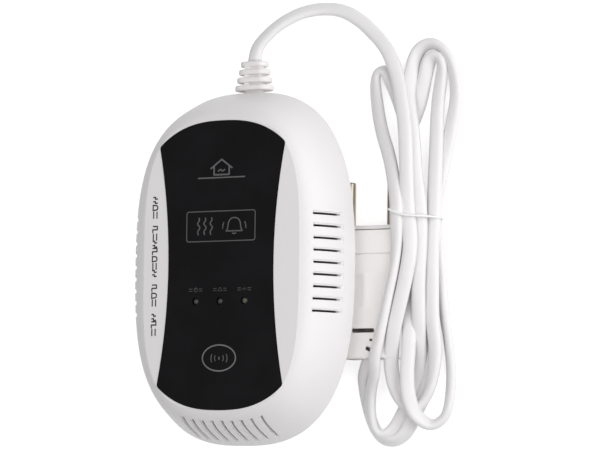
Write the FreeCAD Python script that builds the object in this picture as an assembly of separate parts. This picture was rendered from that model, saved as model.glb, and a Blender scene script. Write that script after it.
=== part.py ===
"""Mains gas alarm in a rounded plastic case, with its flat lead, tied hank and two-pin plug.

The alarm lies on its back. Z points out of its front, Y along its height towards the lead,
and X across its width. The origin is the middle of the back face. All sizes are millimetres.
"""
import FreeCAD, Part
import math
import os

os.makedirs("parts", exist_ok=True)
V = FreeCAD.Vector

# Case outline: the two covers meet at the rim, which is the widest line of the body
body_half_width = 51.5
body_half_height = 75.0
rim_roundness = 2.68
outline_points = 40
seam_share = 0.125
rim_z = 20.0
cover_rise = 22.5
wall = 2.2
ceiling = 2.6

# Flat front of the cover, inside a soft crease
shoulder_run = 14.5
plateau_half_width = body_half_width - shoulder_run
plateau_half_height = body_half_height - shoulder_run
plateau_roundness = 3.5

# Shoulder curve from rim to front: shares of its run inwards and of its rise. The outline
# squares off with the run raised to the power squaring, so mostly near the front
shoulder_low = (0.38, 0.70)
shoulder_high = (0.54, 0.92)
shoulder_steps = 8
squaring = 2.2

# Rear cover: a narrower pedestal that stands on the wall, and a flange out to the rim
side_overhang = 17.5
end_overhang = 13.0
pedestal_half_width = body_half_width - side_overhang
pedestal_half_height = body_half_height - end_overhang
pedestal_roundness = 3.2
pedestal_height = 13.0
pedestal_draft = 0.5
pedestal_edge = 1.0
rim_land = 5.8
flange_wall = 2.4
tongue_height = 1.5
tongue_wall = 1.2
tongue_gap = 1.0

# Case screws, in wells that open at the back
screw_edge_x = 10.0
screw_edge_y = 20.0
screw_x = pedestal_half_width - screw_edge_x
screw_y = pedestal_half_height - screw_edge_y
well_radius = 4.8
well_top = 12.0
screw_head_radius = 2.9
screw_head_height = 2.0
screw_head_recess = 7.0
screw_shank_radius = 1.45
screw_length = 13.0
screw_gap = 0.25
thread_gap = 0.05
boss_radius = 3.6
collar_radius = 4.8
head_gap = 0.4

# Keyholes in the back, for two wall screws: a round entry with a slot above it
keyhole_y = 30.0
keyhole_entry_radius = 4.6
keyhole_slot_half = 2.3
keyhole_reach = 8.0

# Fascia: a thin black panel with bowed ends and waisted sides, let into the flat front
fascia_half_height = plateau_half_height + 0.15
fascia_end_half_width = plateau_half_width + 7.4
fascia_end_roundness = 2.5
fascia_end_points = 9
fascia_corner_x = plateau_half_width * 0.807
fascia_waist = plateau_half_width * 0.674
fascia_corner = 1.8
fascia_thickness = 1.4
fascia_pocket = 1.2
fascia_gap = 0.15

# Vent slots in both flanks and in the lower end, each at the bottom of a shallow groove
vent_count = 9
vent_row_y = 0.4
vent_pitch = 5.05
end_vent_pitch = 4.65
vent_width = 0.95
vent_low = 6.6
vent_high = 19.1
end_vent_low = 4.6
end_vent_high = 19.6
groove_width = 2.1
groove_depth = 0.45
groove_overrun = 0.6

# Circuit board and the two small screws that hold it up against the cover's bosses
board_edge_x = 16.5
board_edge_y = 17.0
board_half_width = body_half_width - board_edge_x
board_half_height = body_half_height - board_edge_y
board_corner = 14.0
board_thickness = 1.6
board_top = 25.6
board_hole_gap = 0.25
board_screw_edge = 6.0
board_screw_y = board_half_height - board_screw_edge
board_boss_radius = 3.0
board_screw_radius = 1.1
board_screw_head = 2.3
board_screw_head_height = 1.6
board_screw_length = 8.0

# Three indicator lamps
lamp_pitch = 11.6
lamp_y = -15.25
lamp_radius = 1.5
lamp_flange_radius = 1.9
lamp_flange = 1.0
lamp_length = 5.1
lamp_gap = 0.15
spacer_radius = 2.2

# Test key, with the small switch that it presses
key_y = -39.0
key_half_width = 7.3
key_half_height = 4.9
key_gap = 0.2
key_travel = 0.5
key_flange = 1.0
key_flange_margin = 1.0
key_seat_gap = 0.05
key_stem_radius = 2.0
switch_half = 3.0
switch_height = 4.3
plunger_radius = 1.7
plunger_stand = 1.6
plunger_depth = 2.0
plunger_gap = 0.1
plunger_free_play = 0.3

# Gas sensor and sounder, on the front of the board
sensor_x = 22.0
sensor_y = 10.0
sensor_radius = 8.5
sensor_base_height = 3.0
sensor_can_height = 6.5
sensor_can_wall = 0.5
sensor_window = 5.5
sensor_mesh = 0.4
sounder_x = -12.0
sounder_y = 24.0
sounder_radius = 11.5
sounder_height = 9.5
sounder_wall = 1.0
sounder_port = 1.6
disc_depth = 3.0
disc_thickness = 0.4

# Parts on the back of the board
core_half_width = 14.0
core_height = 18.0
core_half_depth = 6.0
core_limb = 4.0
core_window = 5.0
core_yoke = 4.0
core_y = -22.0
coil_half_depth = 11.0
capacitor_x = 17.0
capacitor_y = 14.0
capacitor_radius = 5.0
capacitor_height = 16.0
regulator_x = -18.0
regulator_y = 8.0
regulator_width = 10.0
regulator_height = 9.0
regulator_depth = 4.5
regulator_tab = 1.3
regulator_tab_height = 15.0
fuse_x = -12.0
fuse_setback = 15.0
fuse_radius = 2.6
fuse_length = 20.0
fuse_cap = 5.0
fuse_drop = 4.6
fuse_clip_half = 3.4
chip_x = 21.0
chip_y = -24.0
chip_half_length = 5.2
chip_half_width = 3.75
chip_height = 2.3
chip_legs = 7
chip_leg_pitch = 1.27
chip_leg_reach = 1.4
terminal_setback = 11.0
terminal_half_width = 5.5
terminal_half_depth = 4.5
terminal_height = 14.0
terminal_screw_radius = 1.6
terminal_screw_sink = 0.2
wire_x = 2.2
wire_radius = 0.9
wire_insert = 6.0

# Cord port in the rear cover and the ribbed strain relief that it grips
cord_axis_z = 14.6
port_half_width = 11.0
port_depth = 7.0
port_setback = 2.5
port_inner_y = pedestal_half_height - port_depth
port_outer_y = body_half_height - port_setback
port_bottom = 8.0
port_corner = 2.5
neck_half_width = 6.0
neck_half_height = 3.3
neck_gap = 0.1
relief_half_width = 8.0
relief_half_height = 4.2
relief_root_half_width = 8.8
relief_root_half_height = 4.4
relief_tip_half_width = 6.4
relief_tip_half_height = 3.6
relief_core_half_width = 4.8
relief_core_half_height = 3.0
relief_web_half_width = 1.7
relief_ribs = 4
relief_rib = 2.75
relief_rib_edge = 0.8
relief_stand = 1.4
relief_reach = 14.1
relief_gap = 0.2
relief_flange = 2.0

# Lead: drawn as a round tube with the bulk of the flat twin cord
cord_radius = 2.6
arc_share = 0.45

# Plug, which lies flat beside the alarm, under the overhang of the case
plug_x = 52.5
plug_face_y = 17.3
plug_half_width = 17.65
plug_half_height = 6.85
plug_rim = 12.0
plug_body_half_width = 14.3
plug_body_half_height = 6.2
plug_length = 55.7
plug_tail_half_width = 10.6
plug_tail_corner = 3.0
pin_pitch = 19.0
pin_radius = 2.0
pin_reach = 19.0
pin_insert = 8.0
pin_root_radius = 2.6
pin_tip = 0.9
plug_plate = 1.6
plug_seam = 0.4
insert_half_width = 13.5
insert_half_height = 4.6
insert_depth = 10.0

# Wire tie around the waist of the hank
tie_y = 21.6
tie_width = 2.0
tie_thickness = 0.9

# Heights and places that follow from the sizes above
terminal_y = port_inner_y - terminal_setback
fuse_y = terminal_y - fuse_setback
relief_tip_y = body_half_height + relief_reach
front_z = rim_z + cover_rise
inner_z = front_z - ceiling
pocket_z = front_z - fascia_pocket
face_z = pocket_z + fascia_thickness
board_bottom = board_top - board_thickness
screw_places = [(sx * screw_x, sy * screw_y) for sx in (-1, 1) for sy in (-1, 1)]
board_screw_places = [(0, board_screw_y), (0, -board_screw_y)]
lamp_names = ["power_lamp", "alarm_lamp", "fault_lamp"]


def save(name, shape):
    """Write one node's shape, after a check that it is sound."""
    if not shape.isValid() or shape.Volume <= 0:
        raise ValueError("bad shape: " + name)
    shape.exportStep("parts/" + name + ".step")
    print(name, len(shape.Solids), round(shape.Volume, 1))


def cylinder(x, y, low, high, radius):
    return Part.makeCylinder(radius, high - low, V(x, y, low))


def box(x0, x1, y0, y1, z0, z1):
    return Part.makeBox(x1 - x0, y1 - y0, z1 - z0, V(x0, y0, z0))


def fuse_all(shapes):
    return shapes[0].multiFuse(shapes[1:]).removeSplitter()


def oval_outline(half_width, half_height, roundness, z):
    """A closed squared-off oval: |x/a|^n + |y/b|^n = 1. It starts near a corner, so that the seam
    of the faces made from it stays clear of the vents."""
    points = []
    for i in range(outline_points):
        turn = 2 * math.pi * (i / outline_points + seam_share)
        c, s = math.cos(turn), math.sin(turn)
        reach = (abs(c) ** roundness + abs(s) ** roundness) ** (-1 / roundness)
        points.append(V(half_width * reach * c, half_height * reach * s, z))
    curve = Part.BSplineCurve()
    curve.interpolate(Points=points, PeriodicFlag=True)
    return Part.Wire([curve.toShape()])


def oval_prism(half_width, half_height, roundness, low, high):
    face = Part.Face(oval_outline(half_width, half_height, roundness, low))
    return face.extrude(V(0, 0, high - low))


def ellipse_prism(x, y, half_width, half_height, low, high):
    """An upright elliptical column whose long axis lies along X."""
    curve = Part.Ellipse(V(x, y, low), half_width, half_height)
    return Part.Face(Part.Wire([curve.toShape()])).extrude(V(0, 0, high - low))


def shoulder(t):
    """Share of the run inwards and of the rise at t, along one cubic curve."""
    a, b = 3 * (1 - t) ** 2 * t, 3 * (1 - t) * t ** 2
    return (a * shoulder_low[0] + b * shoulder_high[0] + t ** 3,
            a * shoulder_low[1] + b * shoulder_high[1] + t ** 3)


def shoulder_solid(inset, rise):
    """The front cover's form, drawn in by inset all round and rise high."""
    wires = []
    for i in range(shoulder_steps + 1):
        run, lift = shoulder(i / shoulder_steps)
        half_width = body_half_width + (plateau_half_width - body_half_width) * run - inset
        half_height = body_half_height + (plateau_half_height - body_half_height) * run - inset
        roundness = rim_roundness + (plateau_roundness - rim_roundness) * run ** squaring
        wires.append(oval_outline(half_width, half_height, roundness, rim_z + rise * lift))
    return Part.makeLoft(wires, True, False)


def fascia_end(x, grow):
    """How far the panel's end curve stands from the middle, at x."""
    share = abs(x) / (fascia_end_half_width + grow)
    return (fascia_half_height + grow) * (1 - share ** fascia_end_roundness) ** (1 / fascia_end_roundness)


def fascia_prism(grow, low, high):
    """The waisted panel outline, grown all round, with rounded corners."""
    cx = fascia_corner_x + grow
    waist = fascia_waist + grow
    edges = []
    for side in (1, -1):
        end_points = []
        for i in range(fascia_end_points):
            x = side * cx * (1 - 2 * i / (fascia_end_points - 1))
            end_points.append(V(x, side * fascia_end(x, grow), low))
        curve = Part.BSplineCurve()
        curve.interpolate(Points=end_points)
        edges.append(curve.toShape())
        last = end_points[-1]
        edges.append(Part.Arc(last, V(-side * waist, 0, low), V(last.x, -last.y, low)).toShape())
    prism = Part.Face(Part.Wire(edges)).extrude(V(0, 0, high - low))
    uprights = [e for e in prism.Edges if abs(e.tangentAt(e.FirstParameter).z) > 0.99]
    return prism.makeFillet(fascia_corner + grow, uprights)


def lamp_places():
    return [((i - 1) * lamp_pitch, lamp_y) for i in range(3)]


def front_cover():
    shell = shoulder_solid(0, cover_rise)
    hollow = shoulder_solid(wall, cover_rise - ceiling)
    shell = shell.cut(hollow)
    bosses = []
    for x, y in screw_places:
        bosses.append(cylinder(x, y, well_top, inner_z + ceiling / 2, boss_radius))
        bosses.append(cylinder(x, y, board_top, inner_z + ceiling / 2, collar_radius))
    for x, y in board_screw_places:
        bosses.append(cylinder(x, y, board_top, inner_z + ceiling / 2, board_boss_radius))
    shell = fuse_all([shell] + bosses)
    cuts = [fascia_prism(fascia_gap, pocket_z, front_z + ceiling)]
    pilot = screw_shank_radius + thread_gap
    reach = screw_head_recess + screw_head_height + screw_length + head_gap
    for x, y in screw_places:
        cuts.append(cylinder(x, y, well_top - 1, reach, pilot))
    pilot = board_screw_radius + thread_gap
    for x, y in board_screw_places:
        cuts.append(cylinder(x, y, board_top - 1, board_bottom + board_screw_length + head_gap, pilot))
    for x, y in lamp_places():
        cuts.append(cylinder(x, y, inner_z - 1, front_z, lamp_radius + 2 * lamp_gap))
    cuts.append(ellipse_prism(0, key_y, key_half_width + key_gap, key_half_height + key_gap,
                              inner_z - 1, front_z))
    cuts += vent_boxes(vent_width / 2, 0)
    return shell.cut(vent_grooves()).cut(Part.makeCompound(cuts))


def vent_boxes(half, over):
    """One box per vent, on both flanks and the lower end, over longer than the slot at each end;
    they stop short of the bosses."""
    low, high = rim_z + vent_low - over, rim_z + vent_high + over
    boxes = []
    for i in range(vent_count):
        step = i - (vent_count - 1) / 2
        y = vent_row_y + step * vent_pitch
        for side in (-1, 1):
            xs = sorted((side * (plateau_half_width + wall / 2), side * (body_half_width + 1)))
            boxes.append(box(xs[0], xs[1], y - half, y + half, low, high))
        x = step * end_vent_pitch
        boxes.append(box(x - half, x + half, -body_half_height - 1, -plateau_half_height - wall / 2,
                         rim_z + end_vent_low - over, rim_z + end_vent_high + over))
    return boxes


def vent_grooves():
    core = shoulder_solid(groove_depth, cover_rise - groove_depth)
    return Part.makeCompound(vent_boxes(groove_width / 2, groove_overrun)).cut(core)


def rear_cover():
    def ring(half_width, half_height, roundness, z):
        return oval_outline(half_width, half_height, roundness, z)

    hw, hh, n = pedestal_half_width, pedestal_half_height, pedestal_roundness
    foot = pedestal_edge
    top = pedestal_draft
    outer = Part.makeLoft([ring(hw - foot, hh - foot, n, 0),
                           ring(hw, hh, n, foot),
                           ring(hw + top, hh + top, n, pedestal_height),
                           ring(body_half_width, body_half_height, rim_roundness, rim_z)], True, True)
    land_width, land_height = body_half_width - rim_land, body_half_height - rim_land
    hollow = Part.makeLoft([ring(hw - wall, hh - wall, n, wall),
                            ring(hw + top - wall, hh + top - wall, n, pedestal_height + flange_wall),
                            ring(land_width, land_height, rim_roundness, rim_z),
                            ring(land_width, land_height, rim_roundness, rim_z + 1)], True, True)
    rim_inset = wall + tongue_gap
    tongue = oval_prism(body_half_width - rim_inset, body_half_height - rim_inset,
                        rim_roundness, rim_z, rim_z + tongue_height)
    rim_inset += tongue_wall
    tongue = tongue.cut(oval_prism(body_half_width - rim_inset, body_half_height - rim_inset,
                                   rim_roundness, rim_z, rim_z + tongue_height))
    port = box(-port_half_width, port_half_width, port_inner_y, port_outer_y, port_bottom, rim_z)
    corners = [e for e in port.Edges if abs(e.Vertexes[0].Z - e.Vertexes[1].Z) < 1e-6
               and e.Vertexes[0].Z < rim_z - 1 and abs(e.Vertexes[0].X - e.Vertexes[1].X) < 1e-6]
    port = port.makeFillet(port_corner, corners)
    wells = [cylinder(x, y, 0, well_top, well_radius) for x, y in screw_places]
    shell = fuse_all([outer.cut(hollow), tongue, port] + wells)
    seat = screw_head_recess + screw_head_height
    cuts = [neck_prism(neck_gap, port_inner_y - 1, port_outer_y + 1),
            head_prism(relief_gap, port_outer_y, body_half_height + 1)]
    for x, y in screw_places:
        cuts.append(cylinder(x, y, -1, seat, screw_head_radius + head_gap))
        cuts.append(cylinder(x, y, 0, well_top + 1, screw_shank_radius + screw_gap))
    for side in (-1, 1):
        cuts += keyhole(side * keyhole_y)
    return shell.cut(Part.makeCompound([fuse_all(cuts)]))


def keyhole(y):
    """A round entry for a screw head, with a slot above it that takes the shank."""
    top = y + keyhole_reach
    return [cylinder(0, y, -1, wall + 1, keyhole_entry_radius),
            cylinder(0, top, -1, wall + 1, keyhole_slot_half),
            box(-keyhole_slot_half, keyhole_slot_half, y, top, -1, wall + 1)]


def cord_oval(half_width, half_height, y):
    """An ellipse across the cord's axis, at y."""
    curve = Part.Ellipse(V(0, 0, 0), half_width, half_height).toShape()
    curve.rotate(V(0, 0, 0), V(1, 0, 0), 90)
    curve.translate(V(0, y, cord_axis_z))
    return Part.Wire([curve])


def cord_oval_prism(half_width, half_height, y0, y1):
    return Part.Face(cord_oval(half_width, half_height, y0)).extrude(V(0, y1 - y0, 0))


def neck_prism(grow, y0, y1):
    return cord_oval_prism(neck_half_width + grow, neck_half_height + grow, y0, y1)


def head_prism(grow, y0, y1):
    return cord_oval_prism(relief_half_width + grow, relief_half_height + grow, y0, y1)


def strain_relief():
    pieces = [neck_prism(0, port_inner_y, port_outer_y),
              cord_oval_prism(relief_half_width, relief_half_height + neck_gap,
                              port_inner_y - relief_flange, port_inner_y),
              Part.makeLoft([cord_oval(relief_core_half_width + neck_gap, relief_core_half_height,
                                       port_outer_y),
                             cord_oval(relief_core_half_width, relief_core_half_height,
                                       relief_tip_y)], True),
              head_prism(0, port_outer_y, body_half_height)]
    root_y = body_half_height + relief_stand
    pitch = (relief_tip_y - relief_rib - root_y) / (relief_ribs - 1)
    for i in range(relief_ribs):
        share = i / (relief_ribs - 1)
        half_width = relief_root_half_width + (relief_tip_half_width - relief_root_half_width) * share
        half_height = relief_root_half_height + (relief_tip_half_height - relief_root_half_height) * share
        y0 = root_y + i * pitch
        rib = cord_oval_prism(half_width, half_height, y0, y0 + relief_rib)
        rims = [e for e in rib.Edges if abs(e.BoundBox.YLength) < 0.01]
        pieces.append(rib.makeFillet(relief_rib_edge, rims))
    web = relief_web_half_width
    deep = relief_tip_half_height - relief_rib_edge / 4
    pieces.append(box(-web, web, root_y, relief_tip_y - relief_rib_edge,
                      cord_axis_z - deep, cord_axis_z + deep))
    return fuse_all(pieces)


def case_screws():
    screws = []
    seat = screw_head_recess + screw_head_height
    for x, y in screw_places:
        head = cylinder(x, y, screw_head_recess, seat, screw_head_radius)
        shank = cylinder(x, y, seat, seat + screw_length, screw_shank_radius)
        drive = box(x - 1.8, x + 1.8, y - 0.4, y + 0.4, screw_head_recess - 1, screw_head_recess + 1.1)
        cross = box(x - 0.4, x + 0.4, y - 1.8, y + 1.8, screw_head_recess - 1, screw_head_recess + 1.1)
        screws.append(head.fuse(shank).cut(drive).cut(cross))
    return Part.makeCompound(screws)


def board_screws():
    screws = []
    for x, y in board_screw_places:
        head = cylinder(x, y, board_bottom - board_screw_head_height, board_bottom, board_screw_head)
        shank = cylinder(x, y, board_bottom, board_bottom + board_screw_length, board_screw_radius)
        slot = box(x - 0.3, x + 0.3, y - board_screw_head, y + board_screw_head,
                   board_bottom - board_screw_head_height - 1, board_bottom - board_screw_head_height / 2)
        screws.append(head.fuse(shank).cut(slot))
    return Part.makeCompound(screws)


def circuit_board():
    board = box(-board_half_width, board_half_width, -board_half_height, board_half_height,
                board_bottom, board_top)
    uprights = [e for e in board.Edges if abs(e.Vertexes[0].Z - e.Vertexes[1].Z) > 1]
    board = board.makeFillet(board_corner, uprights)
    holes = [cylinder(x, y, board_bottom - 1, board_top + 1, boss_radius + board_hole_gap)
             for x, y in screw_places]
    holes += [cylinder(x, y, board_bottom - 1, board_top + 1, board_screw_radius + board_hole_gap)
              for x, y in board_screw_places]
    return board.cut(Part.makeCompound(holes))


def fascia_panel():
    panel = fascia_prism(0, pocket_z, face_z)
    cuts = [cylinder(x, y, pocket_z - 1, face_z + 1, lamp_radius + lamp_gap) for x, y in lamp_places()]
    cuts.append(ellipse_prism(0, key_y, key_half_width + key_gap, key_half_height + key_gap,
                              pocket_z - 1, face_z + 1))
    return panel.cut(Part.makeCompound(cuts))


def lamp(x, y):
    """A round-topped lamp whose dome stands level with the fascia."""
    base = face_z - lamp_length
    flange = cylinder(x, y, base, base + lamp_flange, lamp_flange_radius)
    shaft = cylinder(x, y, base, face_z - lamp_radius, lamp_radius)
    dome = Part.makeSphere(lamp_radius, V(x, y, face_z - lamp_radius))
    return fuse_all([flange, shaft, dome])


def lamp_spacers():
    return Part.makeCompound([cylinder(x, y, board_top, face_z - lamp_length, spacer_radius)
                              for x, y in lamp_places()])


def test_button():
    top = inner_z - key_seat_gap
    cap = ellipse_prism(0, key_y, key_half_width, key_half_height, top - key_flange, face_z)
    flange = ellipse_prism(0, key_y, key_half_width + key_flange_margin,
                           key_half_height + key_flange_margin, top - key_flange, top)
    stem_end = board_top + switch_height + plunger_stand + plunger_free_play
    stem = cylinder(0, key_y, stem_end, top, key_stem_radius)
    return fuse_all([cap, flange, stem])


def switch_body():
    top = board_top + switch_height
    case = box(-switch_half, switch_half, key_y - switch_half, key_y + switch_half, board_top, top)
    well = cylinder(0, key_y, top - plunger_depth - plunger_free_play, top + 1, plunger_radius + plunger_gap)
    return case.cut(well)


def switch_plunger():
    top = board_top + switch_height
    return cylinder(0, key_y, top - plunger_depth, top + plunger_stand, plunger_radius)


def sensor_parts():
    x, y, top = sensor_x, sensor_y, board_top + sensor_base_height
    base = cylinder(x, y, board_top, top, sensor_radius)
    can_top = top + sensor_can_height
    inner = sensor_radius - sensor_can_wall
    can = cylinder(x, y, top, can_top, sensor_radius)
    can = can.cut(cylinder(x, y, top - 1, can_top - sensor_can_wall, inner))
    can = can.cut(cylinder(x, y, top, can_top + 1, sensor_window))
    mesh = cylinder(x, y, can_top - sensor_can_wall - sensor_mesh, can_top - sensor_can_wall, inner - 1)
    return base, can, mesh


def sounder_parts():
    x, y, top = sounder_x, sounder_y, board_top + sounder_height
    inner = sounder_radius - sounder_wall
    ledge = top - disc_depth
    case = cylinder(x, y, board_top, top, sounder_radius)
    case = case.cut(cylinder(x, y, board_top - 1, ledge, inner))
    case = case.cut(cylinder(x, y, ledge - 1, top - sounder_wall, inner - sounder_wall))
    case = case.cut(cylinder(x, y, ledge, top + 1, sounder_port))
    disc = cylinder(x, y, ledge - disc_thickness, ledge, inner)
    return case, disc


def transformer_parts():
    """A small two-window core with its winding on the middle limb."""
    low = board_bottom - core_height
    core = box(-core_half_width, core_half_width, core_y - core_half_depth, core_y + core_half_depth,
               low, board_bottom)
    coil = box(-core_limb - core_window, core_limb + core_window, core_y - coil_half_depth,
               core_y + coil_half_depth, low + core_yoke, board_bottom - core_yoke)
    limb = box(-core_limb, core_limb, core_y - core_half_depth, core_y + core_half_depth,
               low, board_bottom)
    for side in (-1, 1):
        xs = sorted((side * core_limb, side * (core_limb + core_window)))
        core = core.cut(box(xs[0], xs[1], core_y - coil_half_depth, core_y + coil_half_depth,
                            low + core_yoke, board_bottom - core_yoke))
    return core, coil.cut(limb)


def capacitor():
    can = cylinder(capacitor_x, capacitor_y, board_bottom - capacitor_height, board_bottom, capacitor_radius)
    rims = [e for e in can.Edges if e.Closed]
    return can.makeFillet(capacitor_radius / 8, rims)


def regulator():
    x, y = regulator_x, regulator_y
    half = regulator_width / 2
    low = board_bottom - regulator_height
    body = box(x - half, x + half, y, y + regulator_depth, low, board_bottom)
    tab = box(x - half, x + half, y - regulator_tab, y, board_bottom - regulator_tab_height, board_bottom)
    hole = Part.makeCylinder(half / 3, 2 * regulator_tab,
                             V(x, y - 1.5 * regulator_tab, (low + board_bottom - regulator_tab_height) / 2),
                             V(0, 1, 0))
    return body.fuse(tab).cut(hole)


def fuse_parts():
    """A glass fuse on its side, and the two clips that hold its end caps."""
    z = board_bottom - fuse_drop
    x0 = fuse_x - fuse_length / 2
    tube = Part.makeCylinder(fuse_radius, fuse_length, V(x0, fuse_y, z), V(1, 0, 0))
    clips = []
    for x in (x0 + fuse_cap / 4, x0 + fuse_length - fuse_cap * 3 / 4):
        clip = box(x, x + fuse_cap / 2, fuse_y - fuse_clip_half, fuse_y + fuse_clip_half,
                   z - fuse_radius / 2, board_bottom)
        clips.append(clip.cut(tube))
    return tube, Part.makeCompound(clips)


def microcontroller():
    body = box(chip_x - chip_half_width, chip_x + chip_half_width, chip_y - chip_half_length,
               chip_y + chip_half_length, board_top, board_top + chip_height)
    legs = []
    for i in range(chip_legs):
        y = chip_y + (i - (chip_legs - 1) / 2) * chip_leg_pitch
        reach = chip_half_width + chip_leg_reach
        legs.append(box(chip_x - reach, chip_x + reach, y - 0.2, y + 0.2, board_top, board_top + 0.3))
    return fuse_all([body] + legs)


def terminal_parts():
    low = board_bottom - terminal_height
    y0, y1 = terminal_y - terminal_half_depth, terminal_y + terminal_half_depth
    block = box(-terminal_half_width, terminal_half_width, y0, y1, low, board_bottom)
    screws = []
    for side in (-1, 1):
        x = side * wire_x
        block = block.cut(Part.makeCylinder(wire_radius, wire_insert, V(x, y1 - wire_insert, cord_axis_z),
                                            V(0, 1, 0)))
        block = block.cut(cylinder(x, terminal_y, low - 1, cord_axis_z, terminal_screw_radius))
        screws.append(cylinder(x, terminal_y, low + terminal_screw_sink, cord_axis_z - wire_radius,
                               terminal_screw_radius))
    return block, Part.makeCompound(screws)


def inner_wire(side):
    """One cored wire from the strain relief into the terminal block."""
    start = terminal_y + terminal_half_depth - wire_insert
    end = port_inner_y - relief_flange
    return Part.makeCylinder(wire_radius, end - start, V(side * wire_x, start, cord_axis_z), V(0, 1, 0))


def cord_path(points):
    """Straight runs joined by tangent arcs, each as large as its two runs allow."""
    edges = []
    at = points[0]
    for before, corner, after in zip(points, points[1:], points[2:]):
        back, ahead = before - corner, after - corner
        turn = math.pi - back.getAngle(ahead)
        reach = arc_share * min(back.Length, ahead.Length)
        radius = reach / math.tan(turn / 2)
        back.normalize()
        ahead.normalize()
        start, end = corner + back * reach, corner + ahead * reach
        middle = (back + ahead).normalize()
        depth = radius / math.cos(turn / 2) - radius
        edges.append(Part.LineSegment(at, start).toShape())
        edges.append(Part.Arc(start, corner + middle * depth, end).toShape())
        at = end
        print("  bend radius", round(radius, 1), "turn", round(math.degrees(turn)))
    edges.append(Part.LineSegment(at, points[-1]).toShape())
    return Part.Wire(edges)


def cord_tube(points, radius):
    path = cord_path(points)
    direction = points[1] - points[0]
    profile = Part.Wire([Part.Circle(points[0], direction, radius).toShape()])
    tube = path.makePipeShell([profile], True, False, 0)
    expected = math.pi * radius ** 2 * path.Length
    print("  length", round(path.Length, 1), "volume ratio", round(tube.Volume / expected, 5))
    return tube


# Route of the lead from the strain relief to the hank; its points are chosen by hand
lead_route = [
    V(0.0, relief_tip_y, cord_axis_z),
    V(0.0, relief_tip_y + 5.0, cord_axis_z),
    V(3.4, relief_tip_y + 11.0, cord_axis_z - 1.2),
    V(10.0, 105.6, 10.8),
    V(18.0, 110.4, 7.4),
    V(27.0, 112.4, 4.4),
    V(36.4, 110.8, 3.0),
    V(45.0, 105.8, 2.9),
    V(52.4, 99.0, 3.6),
    V(57.8, 93.4, 5.0),
    V(61.4, 87.2, 6.2),
]

# Outer form of the hank: at each height a seven-sided outline, written as x, z, going round from
# the lower left corner; the hank leans on the plug's side and spreads into loops at both ends
hank_upper = [
    (88.5, [(57.0, 0), (61.0, 0), (66.0, 0), (89.5, 0), (89.5, 4.4), (70.0, 9.6), (57.0, 9.6)]),
    (76.0, [(48.5, 0), (56.0, 0), (64.0, 0), (92.6, 0), (92.6, 4.2), (67.0, 11.8), (48.5, 4.6)]),
    (58.0, [(54.0, 2.0), (58.0, 0), (66.0, 0), (91.0, 0), (91.2, 4.4), (72.0, 15.0), (54.0, 8.6)]),
    (37.2, [(65.0, 11.0), (66.4, 4.0), (69.0, 0), (85.8, 0), (86.4, 7.4), (76.0, 17.4), (65.0, 16.4)]),
    (22.8, [(66.6, 14.0), (67.8, 6.0), (69.6, 2.2), (84.0, 1.8), (85.4, 8.0), (77.4, 17.6), (67.0, 19.2)]),
    (20.4, [(66.6, 14.0), (67.8, 6.0), (69.6, 2.2), (84.0, 1.8), (85.4, 8.0), (77.4, 17.6), (67.0, 19.2)]),
    (17.8, [(66.8, 14.2), (70.8, 13.2), (70.8, 1.4), (84.6, 1.0), (85.4, 7.6), (78.4, 17.8), (67.2, 18.8)]),
    (4.6, [(65.0, 14.2), (70.8, 13.2), (70.8, 0.8), (85.0, 0), (85.4, 8.0), (79.0, 18.2), (66.0, 18.8)]),
    (-12.0, [(61.0, 14.2), (69.0, 13.4), (70.0, 0.4), (86.6, 0), (87.4, 6.4), (78.0, 17.8), (61.6, 18.6)]),
    (-38.9, [(53.6, 13.4), (65.0, 13.2), (66.0, 0), (90.6, 0), (91.4, 4.4), (73.0, 15.6), (54.0, 14.6)]),
    (-44.0, [(56.0, 5.0), (57.0, 0.4), (66.0, 0), (91.4, 0), (91.8, 4.2), (73.0, 14.2), (56.0, 12.4)]),
]
hank_lower = [
    (-44.0, [(46.4, 0), (56.0, 0), (66.0, 0), (91.4, 0), (91.8, 4.2), (73.0, 14.2), (46.4, 10.2)]),
    (-56.0, [(47.0, 0), (56.0, 0), (66.0, 0), (90.4, 0), (90.8, 4.2), (74.0, 13.0), (47.0, 5.4)]),
    (-66.0, [(51.4, 0), (58.0, 0), (66.0, 0), (86.0, 0), (86.6, 4.2), (78.0, 6.4), (51.6, 4.4)]),
    (-73.4, [(56.4, 0), (58.0, 0), (60.0, 0), (63.4, 0), (63.6, 3.6), (60.4, 4.0), (56.4, 3.8)]),
]
hank_crown = [
    (88.5, [(69.0, 0), (72.0, 0), (76.0, 0), (89.0, 0), (89.0, 4.2), (78.0, 5.4), (69.0, 4.8)]),
    (97.4, [(73.4, 0), (75.0, 0), (77.0, 0), (82.6, 0), (82.6, 3.8), (78.0, 4.0), (73.4, 3.8)]),
]


def section(y, outline):
    return Part.makePolygon([V(x, y, z) for x, z in outline + outline[:1]])


def hank_loft(stations):
    return Part.makeLoft([section(y, outline) for y, outline in stations], True, True)


def cord_hank():
    return fuse_all([hank_loft(hank_upper), hank_loft(hank_lower), hank_loft(hank_crown)])


def tie_outline():
    return next(outline for y, outline in hank_upper if y > tie_y and y < tie_y + tie_width)


def cable_tie():
    """A wire tie drawn tight round the waist of the hank."""
    inner = section(tie_y - tie_width / 2, tie_outline())
    outer = inner.makeOffset2D(tie_thickness, 0)
    along = V(0, tie_width, 0)
    return Part.Face(outer).extrude(along).cut(Part.Face(inner).extrude(along))


def plug_slab(half_width, half_height, y0, y1):
    """A slab with round long edges, lying along Y with the plug's middle height."""
    slab = box(plug_x - half_width, plug_x + half_width, y0, y1,
               plug_half_height - half_height, plug_half_height + half_height)
    sides = [e for e in slab.Edges if abs(e.Vertexes[0].Y - e.Vertexes[1].Y) > 1]
    return slab.makeFillet(half_height - 0.02, sides)


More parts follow.
